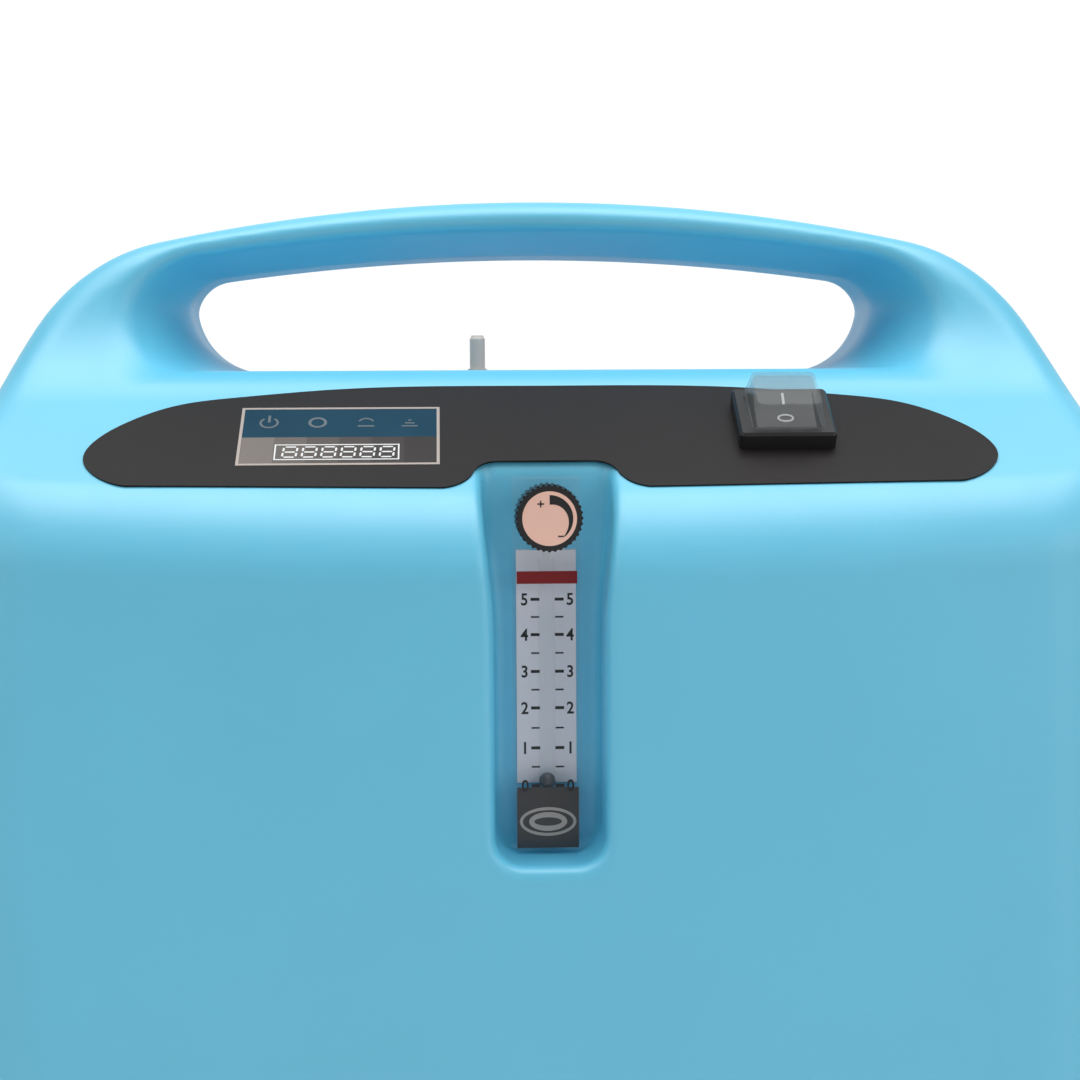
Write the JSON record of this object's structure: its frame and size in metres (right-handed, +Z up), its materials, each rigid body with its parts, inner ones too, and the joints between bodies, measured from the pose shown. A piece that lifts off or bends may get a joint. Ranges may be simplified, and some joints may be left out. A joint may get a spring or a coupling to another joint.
{
  "type": "oxygen concentrator",
  "caption": "Light blue wheeled oxygen concentrator with arched carry handle, slanted dark control panel, recessed flow meter with knob, and humidifier bottle at the back.",
  "frame": {"origin": "centre of the footprint, on the floor under the casters", "axes": "+X right as seen from the front, +Y towards the back, +Z up; the control panel faces -Y"},
  "size_m": [0.363, 0.25, 0.59],
  "materials": {
    "casing": "satin moulded ABS",
    "tray": "fine grain",
    "membrane": "satin polyester overlay",
    "lcd": "dark window",
    "board": "solder mask",
    "chips": "epoxy",
    "black_plastic": "fine grain",
    "clear_cap": "soft clear",
    "acrylic": "polished acrylic",
    "label": "printed film",
    "ball": "polished",
    "copper_disc": "spun brushed",
    "steel": "machined",
    "brass": "machined",
    "jar": "clear polycarbonate",
    "lid": "fine grain",
    "foam": "open-cell foam",
    "paper_filter": "moulded",
    "alu": "drawn tube",
    "cast": "die-cast",
    "rubber": "matte",
    "hose": "silicone",
    "grey_plastic": "fine grain",
    "red_plastic": "fine grain",
    "zinc": "zinc plated"
  },
  "bodies": {
    "chassis": {"front_shell": "casing", "rear_shell": "casing", "shell_screws": "zinc", "base_tray": "tray", "control_membrane": "membrane", "lcd_display": "lcd", "display_board": "board", "switch_base": "black_plastic", "switch_cap": "clear_cap", "flowmeter_block": "acrylic", "scale_plate": "label", "flowmeter_fittings": "brass", "oxygen_spigot": "brass", "intake_filter": "paper_filter", "power_inlet": "black_plastic", "inlet_pins": "steel", "circuit_breaker": "black_plastic", "exhaust_grille": "grey_plastic", "compressor_housing": "cast", "cylinder_heads": "alu", "compressor_mounts": "rubber", "fan_frame": "black_plastic", "heat_exchanger": "alu", "exhaust_muffler": "black_plastic", "mid_shelf": "grey_plastic", "sieve_beds": "alu", "product_tank": "alu", "pressure_regulator": "brass", "valve_manifold": "alu", "solenoid_valves": "steel", "bacterial_filter": "paper_filter", "control_board": "board", "board_components": "chips", "motor_capacitor": "alu", "oxygen_hoses": "hose", "air_hoses": "hose", "caster_plates": "zinc"},
    "rocker": {"switch_rocker": "black_plastic"},
    "knob": {"flow_knob": "black_plastic", "knob_disc": "copper_disc", "needle_stem": "steel"},
    "float": {"flow_float": "ball"},
    "humidifier": {"humidifier_jar": "jar", "humidifier_lid": "lid", "humidifier_tube": "jar", "humidifier_nut": "lid"},
    "filter_door": {"filter_cover": "grey_plastic", "foam_prefilter": "foam"},
    "breaker": {"breaker_button": "red_plastic"},
    "compressor_rotor": {"compressor_shaft": "steel", "compressor_fans": "black_plastic"},
    "fan": {"fan_rotor": "black_plastic"},
    "swivel_front_left": {"caster_fork_front_left": "zinc"},
    "wheel_front_left": {"caster_wheel_front_left": "rubber"},
    "swivel_front_right": {"caster_fork_front_right": "zinc"},
    "wheel_front_right": {"caster_wheel_front_right": "rubber"},
    "swivel_rear_left": {"caster_fork_rear_left": "zinc"},
    "wheel_rear_left": {"caster_wheel_rear_left": "rubber"},
    "swivel_rear_right": {"caster_fork_rear_right": "zinc"},
    "wheel_rear_right": {"caster_wheel_rear_right": "rubber"}
  },
  "joints": [
    {"name": "switch_rocker_tilt", "type": "hinge", "parent": "chassis", "child": "rocker", "pos_m": [0.0748, -0.08414, 0.51622], "axis": [1, 0, 0], "range_deg": [-16, 0]},
    {"name": "flow_knob_turn", "type": "hinge", "parent": "chassis", "child": "knob", "pos_m": [0, -0.115, 0.4897], "axis": [0, 1, 0], "range_deg": [0, 720]},
    {"name": "flow_float_rise", "type": "slide", "parent": "chassis", "child": "float", "axis": [0, 0, 1], "range_m": [0, 0.0565]},
    {"name": "humidifier_lift", "type": "slide", "parent": "chassis", "child": "humidifier", "axis": [0, 0, 1], "range_m": [0, 0.22]},
    {"name": "filter_cover_pull", "type": "slide", "parent": "chassis", "child": "filter_door", "axis": [0, 1, 0], "range_m": [0, 0.06]},
    {"name": "breaker_pop", "type": "slide", "parent": "chassis", "child": "breaker", "axis": [0, 1, 0], "range_m": [0, 0.003]},
    {"name": "compressor_spin", "type": "hinge", "parent": "chassis", "child": "compressor_rotor", "pos_m": [0, -0.015, 0.15], "axis": [1, 0, 0], "continuous": true},
    {"name": "fan_spin", "type": "hinge", "parent": "chassis", "child": "fan", "pos_m": [0.105, 0.105, 0.15], "axis": [0, 1, 0], "continuous": true},
    {"name": "swivel_front_left", "type": "hinge", "parent": "chassis", "child": "swivel_front_left", "pos_m": [-0.139, -0.083, 0.055], "axis": [0, 0, 1], "continuous": true},
    {"name": "roll_front_left", "type": "hinge", "parent": "swivel_front_left", "child": "wheel_front_left", "pos_m": [-0.139, -0.067, 0.024], "axis": [1, 0, 0], "continuous": true},
    {"name": "swivel_front_right", "type": "hinge", "parent": "chassis", "child": "swivel_front_right", "pos_m": [0.139, -0.083, 0.055], "axis": [0, 0, 1], "continuous": true},
    {"name": "roll_front_right", "type": "hinge", "parent": "swivel_front_right", "child": "wheel_front_right", "pos_m": [0.139, -0.067, 0.024], "axis": [1, 0, 0], "continuous": true},
    {"name": "swivel_rear_left", "type": "hinge", "parent": "chassis", "child": "swivel_rear_left", "pos_m": [-0.139, 0.083, 0.055], "axis": [0, 0, 1], "continuous": true},
    {"name": "roll_rear_left", "type": "hinge", "parent": "swivel_rear_left", "child": "wheel_rear_left", "pos_m": [-0.139, 0.099, 0.024], "axis": [1, 0, 0], "continuous": true},
    {"name": "swivel_rear_right", "type": "hinge", "parent": "chassis", "child": "swivel_rear_right", "pos_m": [0.139, 0.083, 0.055], "axis": [0, 0, 1], "continuous": true},
    {"name": "roll_rear_right", "type": "hinge", "parent": "swivel_rear_right", "child": "wheel_rear_right", "pos_m": [0.139, 0.099, 0.024], "axis": [1, 0, 0], "continuous": true}
  ],
  "couplings": [
    {"joint": "flow_float_rise", "follows": "flow_knob_turn", "m_per_rad": 0.0044961}
  ]
}
